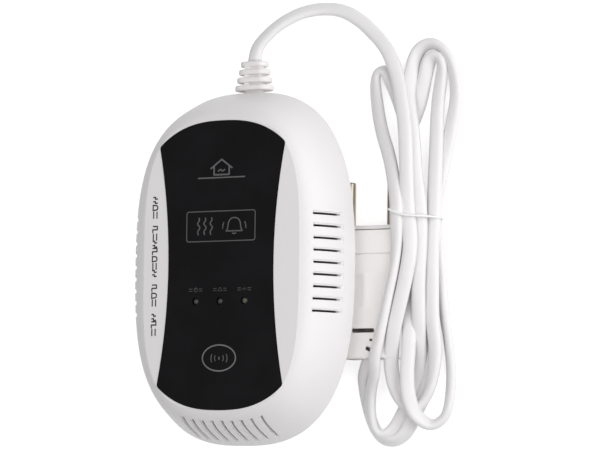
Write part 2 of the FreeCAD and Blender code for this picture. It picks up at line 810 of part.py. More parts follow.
def plug_body():
    """A flat overmoulded plug: a wide face block, and a grip that narrows to the cord."""
    face_y = plug_face_y - plug_plate - plug_seam
    rim = plug_slab(plug_half_width, plug_half_height, plug_face_y - plug_rim, face_y)
    tail_y = plug_face_y - plug_length
    high = plug_half_height + plug_body_half_height
    low = plug_half_height - plug_body_half_height
    wide, narrow = plug_body_half_width, plug_tail_half_width
    outline = [V(plug_x - wide, plug_face_y - plug_rim, low), V(plug_x + wide, plug_face_y - plug_rim, low),
               V(plug_x + narrow, tail_y, low), V(plug_x - narrow, tail_y, low)]
    grip = Part.Face(Part.makePolygon(outline + outline[:1])).extrude(V(0, 0, high - low))
    ends = [e for e in grip.Edges if abs(e.Vertexes[0].Z - e.Vertexes[1].Z) > 1
            and e.Vertexes[0].Y < tail_y + 1]
    grip = grip.makeFillet(plug_tail_corner, ends)
    body = fuse_all([rim, grip])
    pocket = box(plug_x - insert_half_width, plug_x + insert_half_width, plug_face_y - insert_depth,
                 plug_face_y + 1,
                 plug_half_height - insert_half_height, plug_half_height + insert_half_height)
    return body.cut(pocket)


def plug_pins():
    pins = []
    for side in (-1, 1):
        x = plug_x + side * pin_pitch / 2
        root = Part.makeCylinder(pin_root_radius, pin_insert,
                                 V(x, plug_face_y - pin_insert, plug_half_height), V(0, 1, 0))
        pin = Part.makeCylinder(pin_radius, pin_reach, V(x, plug_face_y, plug_half_height), V(0, 1, 0))
        tips = [e for e in pin.Edges if e.Closed and e.Vertexes[0].Y > plug_face_y + 1]
        pins.append(root.fuse(pin.makeFillet(pin_tip, tips)))
    return Part.makeCompound(pins)


def plug_insert():
    """The hard carrier that holds the pins: a face plate on a block that is let into the body."""
    block = box(plug_x - insert_half_width, plug_x + insert_half_width, plug_face_y - insert_depth,
                plug_face_y, plug_half_height - insert_half_height, plug_half_height + insert_half_height)
    plate = plug_slab(plug_half_width, plug_half_height, plug_face_y - plug_plate, plug_face_y)
    block = fuse_all([block, plate])
    for side in (-1, 1):
        x = plug_x + side * pin_pitch / 2
        block = block.cut(Part.makeCylinder(pin_root_radius, pin_insert + 1,
                                            V(x, plug_face_y - pin_insert, plug_half_height), V(0, 1, 0)))
    return block


def cord_tail():
    start = plug_face_y - plug_length
    end = hank_lower[0][0]
    return Part.makeCylinder(cord_radius, start - end, V(plug_x, end, plug_half_height), V(0, 1, 0))


save("front_cover", front_cover())
save("rear_cover", rear_cover())
save("fascia_panel", fascia_panel())
save("case_screws", case_screws())
save("circuit_board", circuit_board())
save("board_screws", board_screws())
for lamp_name, place in zip(lamp_names, lamp_places()):
    save(lamp_name, lamp(*place))
save("lamp_spacers", lamp_spacers())
save("test_button", test_button())
save("switch_body", switch_body())
save("switch_plunger", switch_plunger())
for sensor_name, piece in zip(["sensor_base", "sensor_can", "sensor_mesh"], sensor_parts()):
    save(sensor_name, piece)
for sounder_name, piece in zip(["sounder_case", "sounder_disc"], sounder_parts()):
    save(sounder_name, piece)
for core_name, piece in zip(["transformer_core", "transformer_coil"], transformer_parts()):
    save(core_name, piece)
save("smoothing_capacitor", capacitor())
save("voltage_regulator", regulator())
for fuse_name, piece in zip(["mains_fuse", "fuse_clips"], fuse_parts()):
    save(fuse_name, piece)
save("microcontroller", microcontroller())
for terminal_name, piece in zip(["wire_terminal", "terminal_screws"], terminal_parts()):
    save(terminal_name, piece)
save("live_wire", inner_wire(-1))
save("neutral_wire", inner_wire(1))
save("strain_relief", strain_relief())
save("cord_lead", cord_tube(lead_route, cord_radius))
save("cord_hank", cord_hank())
save("cord_tail", cord_tail())
save("cable_tie", cable_tie())
save("plug_body", plug_body())
save("plug_insert", plug_insert())
save("plug_pins", plug_pins())
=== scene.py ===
"""The look of the mains gas alarm, with its flat lead, tied hank and plug, over the CAD frame."""
import math

import bmesh
import bpy
from mathutils import Matrix, Vector


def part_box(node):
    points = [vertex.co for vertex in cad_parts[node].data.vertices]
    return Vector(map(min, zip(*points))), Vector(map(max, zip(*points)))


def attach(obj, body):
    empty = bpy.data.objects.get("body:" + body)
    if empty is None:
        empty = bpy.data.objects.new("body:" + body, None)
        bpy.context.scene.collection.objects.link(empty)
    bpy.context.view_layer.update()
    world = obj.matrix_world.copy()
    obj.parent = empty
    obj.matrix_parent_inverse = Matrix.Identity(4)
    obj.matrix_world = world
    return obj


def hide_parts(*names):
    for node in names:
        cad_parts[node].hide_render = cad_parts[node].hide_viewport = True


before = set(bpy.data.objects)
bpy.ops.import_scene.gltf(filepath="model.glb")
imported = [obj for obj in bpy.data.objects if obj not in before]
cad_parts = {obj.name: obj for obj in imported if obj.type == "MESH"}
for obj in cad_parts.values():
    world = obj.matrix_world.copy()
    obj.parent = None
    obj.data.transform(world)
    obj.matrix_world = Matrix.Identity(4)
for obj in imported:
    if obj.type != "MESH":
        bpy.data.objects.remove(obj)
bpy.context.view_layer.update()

# ---------------------------------------------------------------------------------------------
# Camera: a long lens to the right of the alarm and a little below its middle, looking down on
# the front, with a slight roll. The three axes are its right, its up and its back.
camera_data = bpy.data.cameras.new("camera")
camera_data.sensor_width = 36
camera_data.lens = 195.6
camera_data.clip_start = 0.05
camera_data.clip_end = 20
camera = bpy.data.objects.new("camera", camera_data)
bpy.context.collection.objects.link(camera)
camera_axes = Matrix(((0.88654, 0.03187, 0.46155),
                      (0.01182, 0.99574, -0.09145),
                      (-0.46250, 0.08653, 0.88239)))
camera.matrix_world = Matrix.Translation((0.65832, -0.10762, 1.22983)) @ camera_axes.to_4x4()
bpy.context.scene.camera = camera
bpy.context.scene.view_settings.view_transform = "Standard"


# ---------------------------------------------------------------------------------------------
# Lead: a flat twin mains cord with a smooth white sheath. It leaves the strain relief, bends
# over to the side, is folded up and down into a loose hank, and ends in the plug.
cord_width = 0.0062
cord_thickness = 0.0038
relief_tip = (0.0, 0.0891, 0.0146)

# Millimetres; each line is one run or one bend of the folded lead, in the order it is wound
lead_over = [(0, 89.1, 14.6), (0, 93.8, 14.6), (3.8, 99.4, 13.4), (10, 105.6, 10.8), (18, 110.3, 7.4),
             (27, 112, 4.4), (36.4, 110.8, 3.4), (45, 105.8, 3.4), (52.4, 99, 4.0), (57.8, 93.4, 5.2)]
first_down = [(61.4, 87.2, 6.6), (64.8, 80, 8), (67.6, 70, 10), (70.2, 59, 12), (71.9, 46.1, 14),
              (72.7, 33.3, 15.2), (73.7, 21.6, 15.5), (74.9, 14.5, 16), (75.2, 6.1, 16),
              (72.9, -4.8, 15.5), (70.2, -15.3, 15), (66.9, -25.9, 14), (64.4, -35.6, 11.5)]
inner_foot = [(63.4, -41.9, 9), (63.8, -48.9, 7.2), (66.6, -55.6, 6.2), (71.2, -59.5, 5.6), (75.8, -57.7, 5.6),
              (79.5, -52.3, 6)]
second_up = [(81.6, -44.9, 6.3), (82.9, -35.5, 6.6), (81.4, -22.4, 7.6), (81.4, -5.8, 8), (81.2, 8.8, 8),
             (82.1, 22, 8.1), (81.9, 32.6, 7.4), (81.7, 50.4, 5.4), (81, 68.3, 3.2)]
inner_crown = [(82.7, 79.6, 3), (83.1, 84.6, 3.2), (82.2, 87.6, 3.2), (79.6, 88.8, 3.2), (77, 87.5, 3.2),
               (75.9, 84, 3.1), (74.3, 77, 2.8)]
third_down = [(72, 67.7, 2.1), (66.6, 56.1, 2.1), (68.2, 43.2, 2.3), (69.2, 32.5, 3.4), (70.9, 22.6, 4.5),
              (71.8, 13, 2.8), (71, 1, 4), (70.2, -8, 5.5), (70.4, -19, 7.6), (72.1, -28, 9.8),
              (72.5, -36.5, 11.6), (72, -45.4, 12), (72.6, -54, 11.8)]
outer_foot = [(74.2, -61.8, 9), (79.6, -66.7, 4.6), (85.1, -63.8, 3.4), (87.6, -58, 3.4)]
fourth_up = [(88.6, -45.2, 3), (87.1, -32.1, 3), (84, -15.4, 2.6), (82, 1.2, 2.4), (80.7, 14.4, 3.2),
             (80.9, 22, 4), (81.1, 29.9, 3.4), (84.5, 44.6, 2.6), (87.5, 59.3, 2.6)]
outer_crown = [(89.6, 69.7, 2.8), (89.3, 78.2, 3.2), (87, 86.7, 3.2), (83.2, 92, 3.2), (78.6, 94.4, 3.2),
               (73.9, 93.4, 3.2), (70.5, 89.3, 3.4)]
fifth_down = [(69.2, 81, 4.5), (68.6, 72.4, 6.5), (71.1, 62.3, 8), (73.4, 50.2, 9.5), (74.8, 38.3, 11),
              (77.1, 27.2, 12), (77.9, 17.1, 12), (77.5, 6.9, 11.8), (76.6, -8, 11.4), (76.3, -21, 10),
              (75.5, -30, 7.6), (74.4, -38.5, 4.6), (72.9, -46.2, 2.8)]
side_foot = [(69.8, -54.1, 2.8), (66.4, -61, 3), (63.5, -66.5, 3.4), (60.5, -69.9, 4.8), (57, -70.6, 5.8),
             (54.5, -67.8, 6.6), (53.4, -63.2, 7), (52.9, -57.8, 7.4)]
sixth_up = [(54, -50.5, 8.6), (57.6, -44.4, 12.4), (58.2, -38.8, 15.2), (61, -31, 16.2), (65.3, -12.7, 16.2),
            (68.1, -0.7, 16.2), (69.2, 10.4, 16.4), (69, 21.6, 17), (69.1, 26.2, 17), (63.3, 44.6, 11),
            (56, 58.7, 6)]
near_crown = [(52.4, 72.6, 3.2), (51.8, 79.6, 3.2), (52.5, 82.9, 3.2), (55, 84.1, 3.2), (57.6, 83, 3.2),
              (59.1, 79.9, 3.2), (61.4, 75, 3.4)]
seventh_down = [(64.5, 68.3, 4.2), (67.1, 61.3, 5), (68.3, 54.6, 5.8), (69.2, 46.1, 6.6), (69.8, 33.9, 8),
                (70.5, 22.3, 8.8), (72.2, 12, 6.8), (73.9, 0, 6.2), (75.7, -10, 4.4), (77.6, -18, 2.4),
                (79.2, -28, 2.1), (79.1, -38.8, 2.1), (77.1, -50.4, 2.5)]
last_foot = [(70.7, -62.9, 2.8), (67.6, -69.4, 3), (62.3, -72.9, 3), (56, -71.8, 3), (52, -65.4, 3),
             (49.6, -57.4, 3)]
into_plug = [(47.9, -50.3, 3.4), (48.4, -46, 5.2), (50.6, -42.4, 6.6), (52.5, -37.4, 6.85)]
# Runs that lean over onto their edge, by the numbers of their first and last points
leaning = ((sixth_up, 3, 6), (fourth_up, 0, 2), (outer_foot, 2, 3))
lead_runs = (lead_over, first_down, inner_foot, second_up, inner_crown, third_down, outer_foot, fourth_up,
             outer_crown, fifth_down, side_foot, sixth_up, near_crown, seventh_down, last_foot, into_plug)
lead_points = [point for run in lead_runs for point in run]
steps_per_point = 6

route_curve = bpy.data.curves.new("lead_route", "CURVE")
route_curve.dimensions = "3D"
route_curve.resolution_u = steps_per_point
route_spline = route_curve.splines.new("NURBS")
route_spline.points.add(len(lead_points) - 1)
for control, place in zip(route_spline.points, lead_points):
    control.co = (place[0] / 1000, place[1] / 1000, place[2] / 1000, 1)
route_spline.order_u = 3
route_spline.use_endpoint_u = True
route = bpy.data.objects.new("lead_route", route_curve)
bpy.context.collection.objects.link(route)
bpy.context.view_layer.update()
route_mesh = bpy.data.meshes.new_from_object(route)
lead_path = [route_mesh.vertices[0].co.copy()]
for vertex in route_mesh.vertices:
    if (vertex.co - lead_path[-1]).length > 0.0001:
        lead_path.append(vertex.co.copy())
bpy.data.objects.remove(route)

# The cord bends the easy way, on its thin side, so it stands on edge at each bend and lies flat
# along the runs; the change is spread out, as a stiff sheath spreads it. Turning is in radians a metre
most_on_edge = math.radians(62)
turning_on_edge = 70
look_round = 3
spread_passes = 60
flat_end_points = 14

last = len(lead_path) - 1
tangents = [(lead_path[min(i + 1, last)] - lead_path[max(i - 1, 0)]).normalized() for i in range(last + 1)]
on_edge = []
for i in range(last + 1):
    low, high = max(i - look_round, 0), min(i + look_round, last)
    span = sum((lead_path[j + 1] - lead_path[j]).length for j in range(low, high))
    flat_a = Vector((tangents[low].x, tangents[low].y)).normalized()
    flat_b = Vector((tangents[high].x, tangents[high].y)).normalized()
    turning = flat_a.angle(flat_b, 0) / span
    on_edge.append(min(turning / turning_on_edge, 1) * most_on_edge)
for run, first, end in leaning:
    before = sum(len(other) for other in lead_runs[:lead_runs.index(run)])
    for i in range((before + first) * steps_per_point, (before + end) * steps_per_point):
        on_edge[i] = most_on_edge
for _ in range(spread_passes):
    on_edge = [(on_edge[max(i - 1, 0)] + 2 * on_edge[i] + on_edge[min(i + 1, last)]) / 4
               for i in range(last + 1)]
for i in range(flat_end_points):
    on_edge[-1 - i] *= i / flat_end_points
    on_edge[i] *= i / flat_end_points

# The section is an oval with flattened sides, swept along the route
around = 20
wide_power, thin_power = 0.8, 0.9
lead_bmesh = bmesh.new()
rings = []
for at, along, edge in zip(lead_path, tangents, on_edge):
    side = along.cross(Vector((0, 0, 1))).normalized()
    up = side.cross(along).normalized()
    wide = side * math.cos(edge) + up * math.sin(edge)
    thin = along.cross(wide).normalized()
    ring = []
    for j in range(around):
        turn = 2 * math.pi * j / around
        c, s = math.cos(turn), math.sin(turn)
        c = math.copysign(abs(c) ** wide_power, c) * cord_width / 2
        s = math.copysign(abs(s) ** thin_power, s) * cord_thickness / 2
        ring.append(lead_bmesh.verts.new(at + wide * c + thin * s))
    rings.append(ring)
for near, far in zip(rings, rings[1:]):
    for j in range(around):
        k = (j + 1) % around
        lead_bmesh.faces.new((near[j], far[j], far[k], near[k]))
lead_bmesh.faces.new(rings[0])
lead_bmesh.faces.new(list(reversed(rings[-1])))
bmesh.ops.recalc_face_normals(lead_bmesh, faces=lead_bmesh.faces)
lead_mesh = bpy.data.meshes.new("lead")
lead_bmesh.to_mesh(lead_mesh)
lead_bmesh.free()
lead_mesh.polygons.foreach_set("use_smooth", [len(face.vertices) == 4 for face in lead_mesh.polygons])
lead = bpy.data.objects.new("lead", lead_mesh)
bpy.context.collection.objects.link(lead)


def blank(name):
    """A new material: itself, its nodes and links, its shader and the place in the object."""
    material = bpy.data.materials.new(name)
    material.use_nodes = True
    nodes, links = material.node_tree.nodes, material.node_tree.links
    return material, nodes, links, nodes["Principled BSDF"], nodes.new("ShaderNodeTexCoord").outputs["Object"]


def noise(nodes, links, place, scale, detail=2):
    """A cloud of values by place, with spots of about one over the scale."""
    cloud = nodes.new("ShaderNodeTexNoise")
    cloud.inputs["Scale"].default_value = scale
    cloud.inputs["Detail"].default_value = detail
    links.new(place, cloud.inputs["Vector"])
    return cloud.outputs["Fac"]


def colour_by(nodes, links, shader, amount, dark, light, start=0, end=1):
    """Colour the shader between two tones by a value."""
    tone = nodes.new("ShaderNodeValToRGB")
    for stop, position, colour in zip(tone.color_ramp.elements, (start, end), (dark, light)):
        stop.position = position
        stop.color = list(colour) + [1]
    links.new(amount, tone.inputs["Fac"])
    links.new(tone.outputs["Color"], shader.inputs["Base Color"])


def gloss_by(nodes, links, shader, amount, low, high):
    """Vary the shader's roughness between two values."""
    gloss = nodes.new("ShaderNodeMapRange")
    gloss.inputs["To Min"].default_value = low
    gloss.inputs["To Max"].default_value = high
    links.new(amount, gloss.inputs["Value"])
    links.new(gloss.outputs["Result"], shader.inputs["Roughness"])


def raise_by(nodes, links, shader, amount, strength, distance):
    """Raise the surface by a value."""
    bump = nodes.new("ShaderNodeBump")
    bump.inputs["Strength"].default_value = strength
    bump.inputs["Distance"].default_value = distance
    links.new(amount, bump.inputs["Height"])
    links.new(bump.outputs["Normal"], shader.inputs["Normal"])


def moulded(name, colour, roughness, grain_size, grain_depth, shade=0.03):
    """A plastic or rubber finish: a base colour that drifts slightly, and a fine moulded grain."""
    material, nodes, links, shader, place = blank(name)
    drift = noise(nodes, links, place, 35, 3)
    grain = noise(nodes, links, place, 1 / grain_size)
    colour_by(nodes, links, shader, drift, [c * (1 - shade) for c in colour], colour, 0.3, 0.7)
    gloss_by(nodes, links, shader, grain, roughness * 0.88, roughness * 1.12)
    raise_by(nodes, links, shader, grain, 0.35, grain_depth)
    return material


def finish_piece(piece, material):
    """Give a piece its one material."""
    piece.data.materials.clear()
    piece.data.materials.append(material)


finish_piece(lead, moulded("cord_sheath", (0.83, 0.816, 0.821), 0.38, 0.0009, 0.00002))
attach(lead, "case")
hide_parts("cord_lead", "cord_hank", "cord_tail")


# ---------------------------------------------------------------------------------------------
# Wire tie: a soft plastic strip with a thin wire in it, drawn round the waist of the hank. Its two
# ends are twisted together at the back, between the hank and the plug.
tie_width = 0.0021
tie_thickness = 0.0009
tie_round = [(67.0, 22.9, 3.4), (70.2, 22.4, 1.7), (77.0, 21.2, 1.5), (83.4, 20.3, 1.7), (84.7, 20.1, 4.6),
             (84.6, 20.1, 9.4), (82.0, 20.3, 12.6), (79.2, 20.4, 16.2), (74.6, 20.5, 18.1), (71.4, 21.2, 19.0),
             (68.4, 22.4, 19.6), (66.5, 23.2, 18.6), (66.3, 23.3, 15.4), (67.0, 23.1, 9.0)]


def bent_strip(name, points, width, thickness, closed, steps=6):
    """A flat strip or a round wire along given points in millimetres: a thickened curve, as a mesh."""
    bpy.ops.object.select_all(action="DESELECT")
    drawn = bpy.data.curves.new(name, "CURVE")
    drawn.dimensions = "3D"
    drawn.resolution_u = steps
    drawn.bevel_depth = thickness / 2
    drawn.bevel_resolution = 3
    drawn.extrude = (width - thickness) / 2
    line = drawn.splines.new("NURBS")
    line.points.add(len(points) - 1)
    for control, spot in zip(line.points, points):
        control.co = (spot[0] / 1000, spot[1] / 1000, spot[2] / 1000, 1)
    line.order_u = 3
    line.use_cyclic_u = closed
    line.use_endpoint_u = not closed
    drawn.use_fill_caps = True
    piece = bpy.data.objects.new(name, drawn)
    bpy.context.collection.objects.link(piece)
    bpy.context.view_layer.objects.active = piece
    piece.select_set(True)
    bpy.ops.object.convert(target="MESH")
    piece = bpy.context.object
    bpy.ops.object.mode_set(mode="EDIT")
    bpy.ops.mesh.select_all(action="SELECT")
    bpy.ops.mesh.remove_doubles(threshold=0.000005)
    bpy.ops.mesh.normals_make_consistent(inside=False)
    bpy.ops.object.mode_set(mode="OBJECT")
    bpy.ops.object.shade_smooth_by_angle(angle=math.radians(50))
    return piece


def join_pieces(name, parts):
    """Join several meshes into one named piece."""
    bpy.ops.object.select_all(action="DESELECT")
    for part in parts:
        part.select_set(True)
    bpy.context.view_layer.objects.active = parts[0]
    bpy.ops.object.join()
    piece = bpy.context.object
    piece.name = name
    piece.data.name = name
    return piece


twist_x, twist_y, twist_z = 66.3, 22.9, 3.0
twist_radius = 0.5
twist_step, twist_points = math.pi / 2.6, 17
twist_drift, twist_rise = 0.02, 0.62
twist_ends = []
for turn_start in (0, math.pi):
    helix = []
    for i in range(twist_points):
        turn = turn_start + i * twist_step
        helix.append((twist_x - twist_radius * math.cos(turn) - i * twist_drift, twist_y - i * twist_rise,
                      twist_z + twist_radius * math.sin(turn)))
    twist_ends.append(bent_strip("tie_end", helix, tie_thickness, tie_thickness, False, 4))
tie_band = bent_strip("tie_band", tie_round, tie_width, tie_thickness, True)
wire_tie = join_pieces("wire_tie", [tie_band] + twist_ends)
finish_piece(wire_tie, moulded("tie_plastic", (0.88, 0.88, 0.88), 0.32, 0.0005, 0.00001))
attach(wire_tie, "case")
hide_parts("cable_tie")


# ---------------------------------------------------------------------------------------------
# Plug: soft white rubber moulded over the cord's end and round the hard carrier of the pins. A wide
# flange backs the face; the grip narrows to the cord, with two shallow finger pads on each side.
body_low, body_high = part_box("plug_body")
insert_low, insert_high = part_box("plug_insert")
plug_x = (body_low.x + body_high.x) / 2
plug_z = (body_low.z + body_high.z) / 2
flange_back = body_high.y - 0.01
grip_half_wide, grip_half_narrow = 0.0143, 0.0106
grip_half_height = 0.0062
grip_tail_flatter = 0.97
grip_in_flange = 0.003
grip_side_round, grip_tail_round, grip_tail_edge = 0.0016, 0.0024, 0.0008
flange_corner, flange_edge = 0.00675, 0.0007


def block(name, low, high):
    """A plain block between two corners, ready to be shaped; its origin is the common one."""
    bpy.ops.object.select_all(action="DESELECT")
    size = [b - a for a, b in zip(low, high)]
    middle = [(a + b) / 2 for a, b in zip(low, high)]
    bpy.ops.mesh.primitive_cube_add(size=1, location=middle, scale=size)
    piece = bpy.context.object
    piece.name = name
    piece.data.name = name
    bpy.ops.object.transform_apply(location=True, rotation=True, scale=True)
    return piece


def choose(piece, kind, wanted):
    """In edit mode, select the faces (by middle and normal) or edges (by middle and run) that are wanted."""
    if bpy.context.mode == "OBJECT":
        bpy.ops.object.select_all(action="DESELECT")
        piece.select_set(True)
        bpy.context.view_layer.objects.active = piece
        bpy.ops.object.mode_set(mode="EDIT")
    bpy.ops.mesh.select_mode(type=kind)
    bpy.ops.mesh.select_all(action="DESELECT")
    shape = bmesh.from_edit_mesh(piece.data)
    if kind == "FACE":
        for face in shape.faces:
            face.select_set(wanted(face.calc_center_median(), face.normal))
    else:
        for edge in shape.edges:
            a, b = edge.verts[0].co, edge.verts[1].co
            edge.select_set(wanted((a + b) / 2, (b - a).normalized()))
    shape.select_flush_mode()
    bmesh.update_edit_mesh(piece.data)


def finish_edit(piece, smooth_angle=35):
    """Leave edit mode with outward normals and soft shading below the angle."""
    bpy.ops.mesh.select_all(action="SELECT")
    bpy.ops.mesh.normals_make_consistent(inside=False)
    bpy.ops.object.mode_set(mode="OBJECT")
    bpy.ops.object.shade_smooth_by_angle(angle=math.radians(smooth_angle))


def carve(piece, tool, how):
    """Cut the tool from the piece, or weld it on, and take the tool away."""
    bpy.ops.object.select_all(action="DESELECT")
    piece.select_set(True)
    bpy.context.view_layer.objects.active = piece
    cut = piece.modifiers.new("cut", "BOOLEAN")
    cut.operation = how
    cut.solver = "EXACT"
    cut.object = tool
    bpy.ops.object.modifier_apply(modifier="cut")
    bpy.data.objects.remove(tool)


plug_grip = block("plug_grip", (plug_x - grip_half_wide, body_low.y, plug_z - grip_half_height),
                  (plug_x + grip_half_wide, flange_back + grip_in_flange, plug_z + grip_half_height))
choose(plug_grip, "FACE", lambda at, normal: normal.y < -0.9)
bpy.ops.transform.resize(value=(grip_half_narrow / grip_half_wide, 1, grip_tail_flatter),
                         center_override=(plug_x, body_low.y, plug_z))
# Two shallow pads on each broad side, beside the middle, each with a sloping edge and a soft hollow
pad_near, pad_far = 0.0002, 0.0103
pad_low, pad_high = -0.0172, -0.0022
pad_steps = ((0.0003, 0), (0.0009, -0.0004), (0.0016, -0.0003))
for cut_y in (pad_low, pad_high):
    bpy.ops.mesh.select_all(action="SELECT")
    bpy.ops.mesh.bisect(plane_co=(0, cut_y, 0), plane_no=(0, 1, 0))
for cut_x in (-pad_far, -pad_near, pad_near, pad_far):
    bpy.ops.mesh.select_all(action="SELECT")
    bpy.ops.mesh.bisect(plane_co=(plug_x + cut_x, 0, 0), plane_no=(1, 0, 0))
choose(plug_grip, "FACE", lambda at, normal: (abs(normal.z) > 0.9 and pad_low < at.y < pad_high
                                              and pad_near < abs(at.x - plug_x) < pad_far))
for pad_step, pad_sink in pad_steps:
    bpy.ops.mesh.inset(thickness=pad_step, depth=pad_sink, use_individual=True)
choose(plug_grip, "EDGE", lambda at, run: abs(run.y) > 0.9 and abs(at.x - plug_x) > 0.0105
       and abs(at.z - plug_z) > grip_half_height * 0.9)
bpy.ops.mesh.bevel(offset=grip_side_round, segments=4, affect="EDGES")
choose(plug_grip, "EDGE", lambda at, run: abs(run.z) > 0.8 and at.y < body_low.y + 0.0005)
bpy.ops.mesh.bevel(offset=grip_tail_round, segments=4, affect="EDGES")
choose(plug_grip, "EDGE", lambda at, run: at.y < body_low.y + 0.0001 and abs(run.z) < 0.5)
bpy.ops.mesh.bevel(offset=grip_tail_edge, segments=3, affect="EDGES")
finish_edit(plug_grip)

plug_cover = block("plug_cover", (body_low.x, flange_back, body_low.z), body_high)
choose(plug_cover, "EDGE", lambda at, run: abs(run.y) > 0.9)
bpy.ops.mesh.bevel(offset=flange_corner, segments=9, affect="EDGES")
choose(plug_cover, "EDGE", lambda at, run: at.y < flange_back + 0.0001)
bpy.ops.mesh.bevel(offset=flange_edge, segments=3, affect="EDGES")
finish_edit(plug_cover)
carve(plug_cover, plug_grip, "UNION")

# The pocket for the pin carrier, the slot across the back of the grip, and two small vents by the cord
pocket_inset, pocket_half_height, pocket_play = 0.0041, 0.00465, 0.00005
pocket = block("pocket", (insert_low.x + pocket_inset, insert_low.y - pocket_play, plug_z - pocket_half_height),
               (insert_high.x - pocket_inset, insert_high.y, plug_z + pocket_half_height))
carve(plug_cover, pocket, "DIFFERENCE")
recess_depth = 0.0035
for name, spot, half, tilt in (("slot", (0.0521, -0.0267), (0.0051, 0.0009), 0),
                               ("small_vent", (0.0557, -0.0307), (0.0006, 0.0005), 0),
                               ("vent", (0.0547, -0.0345), (0.0014, 0.0008), 0.5)):
    recess = block(name, (spot[0] - half[0], spot[1] - half[1], plug_z + grip_half_height - recess_depth),
                   (spot[0] + half[0], spot[1] + half[1], plug_z + grip_half_height + 0.002))
    choose(recess, "EDGE", lambda at, run: abs(run.z) > 0.9)
    bpy.ops.mesh.bevel(offset=half[1] * 0.6, segments=3, affect="EDGES")
    bpy.ops.mesh.select_all(action="SELECT")
    bpy.ops.transform.rotate(value=tilt, orient_axis="Z", center_override=(spot[0], spot[1], plug_z))
    finish_edit(recess)
    carve(plug_cover, recess, "DIFFERENCE")
bpy.ops.object.shade_smooth_by_angle(angle=math.radians(30))
finish_piece(plug_cover, moulded("plug_rubber", (0.95, 0.925, 0.91), 0.5, 0.0007, 0.00003))
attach(plug_cover, "case")
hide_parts("plug_body")


def dress(material, *names):
    """Put a finish on CAD nodes, in place of the plain one they come with."""
    for name in names:
        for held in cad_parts[name].material_slots:
            held.material = material


def drawn_metal(name, colour, roughness, along=(1, 1, 14)):
    """A drawn or turned metal: fine lines along the way it was worked, in gloss and in height."""
    material, nodes, links, shader, place = blank(name)
    shader.inputs["Metallic"].default_value = 1
    stretch = nodes.new("ShaderNodeMapping")
    stretch.inputs["Scale"].default_value = [900 / share for share in along]
    links.new(place, stretch.inputs["Vector"])
    lines = noise(nodes, links, stretch.outputs["Vector"], 1, 3)
    colour_by(nodes, links, shader, lines, [c * 0.82 for c in colour], colour)
    gloss_by(nodes, links, shader, lines, roughness * 0.75, roughness * 1.3)
    raise_by(nodes, links, shader, lines, 0.3, 0.000004)
    return material


dress(moulded("carrier_plastic", (0.80, 0.79, 0.79), 0.3, 0.0006, 0.00001), "plug_insert")
dress(drawn_metal("nickel_pin", (0.45, 0.40, 0.33), 0.24, (1, 14, 1)), "plug_pins")


# ---------------------------------------------------------------------------------------------
# Covers: the front and rear shells of the case, moulded in white ABS with a fine satin texture,
# and held together from the back by four zinc-plated screws sunk in wells.
case_plastic = moulded("case_plastic", (0.815, 0.797, 0.801), 0.46, 0.0005, 0.00001, 0.015)
dress(case_plastic, "front_cover", "rear_cover")
dress(drawn_metal("zinc_screw", (0.70, 0.71, 0.72), 0.3), "case_screws", "board_screws", "terminal_screws")


# ---------------------------------------------------------------------------------------------
# Fascia: a thin panel of gloss black acrylic let into the front and held by its rim. Printed on it in
# grey are a house, a framed sign for gas and sound, a sign over each lamp and a ring round the key.
def gloss_black(name, colour, roughness):
    """Black acrylic or lacquered plastic: a clear gloss with faint hazy patches and a slight ripple."""
    material, nodes, links, shader, place = blank(name)
    shader.inputs["Specular IOR Level"].default_value = 0.16
    haze = noise(nodes, links, place, 60, 4)
    ripple = noise(nodes, links, place, 220)
    colour_by(nodes, links, shader, haze, [c * 0.8 for c in colour], [c * 1.25 for c in colour], 0.35, 0.75)
    gloss_by(nodes, links, shader, haze, roughness * 0.7, roughness * 1.4)
    raise_by(nodes, links, shader, ripple, 0.05, 0.00002)
    return material


fascia_gloss = gloss_black("fascia_gloss", (0.0055, 0.005, 0.006), 0.2)
dress(fascia_gloss, "fascia_panel")
fascia_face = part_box("fascia_panel")[1].z
print_lift = 0.00004
bold_line, plain_line, thin_line, fine_line = 0.0007, 0.0006, 0.0005, 0.0003


def printed_ring(name, middle, half, line, corner):
    """A printed outline with rounded corners: a thin plate with its middle taken out."""
    low = (middle[0] - half[0], middle[1] - half[1], fascia_face - print_lift)
    high = (middle[0] + half[0], middle[1] + half[1], fascia_face + print_lift)
    ring = block(name, low, high)
    choose(ring, "EDGE", lambda at, run: abs(run.z) > 0.9)
    bpy.ops.mesh.bevel(offset=corner, segments=12, affect="EDGES")
    choose(ring, "FACE", lambda at, normal: abs(normal.z) > 0.9)
    bpy.ops.mesh.inset(thickness=line, depth=0, use_individual=True)
    bpy.ops.mesh.bridge_edge_loops()
    finish_edit(ring)
    return ring


def printed_line(name, points, line, face=fascia_face):
    """A printed stroke: a round line laid on the face and pressed flat."""
    stroke = bent_strip(name, [(x, y, face * 1000) for x, y in points], line, line, False, 8)
    bpy.ops.object.mode_set(mode="EDIT")
    bpy.ops.mesh.select_all(action="SELECT")
    bpy.ops.transform.resize(value=(1, 1, 2 * print_lift / line), center_override=(0, 0, face))
    bpy.ops.object.mode_set(mode="OBJECT")
    return stroke


def print_ink(name, grey):
    """Screen-printed ink, a little uneven where the mesh of the screen shows."""
    return moulded(name, (grey, grey, grey * 1.04), 0.5, 0.00025, 0.000004, 0.25)


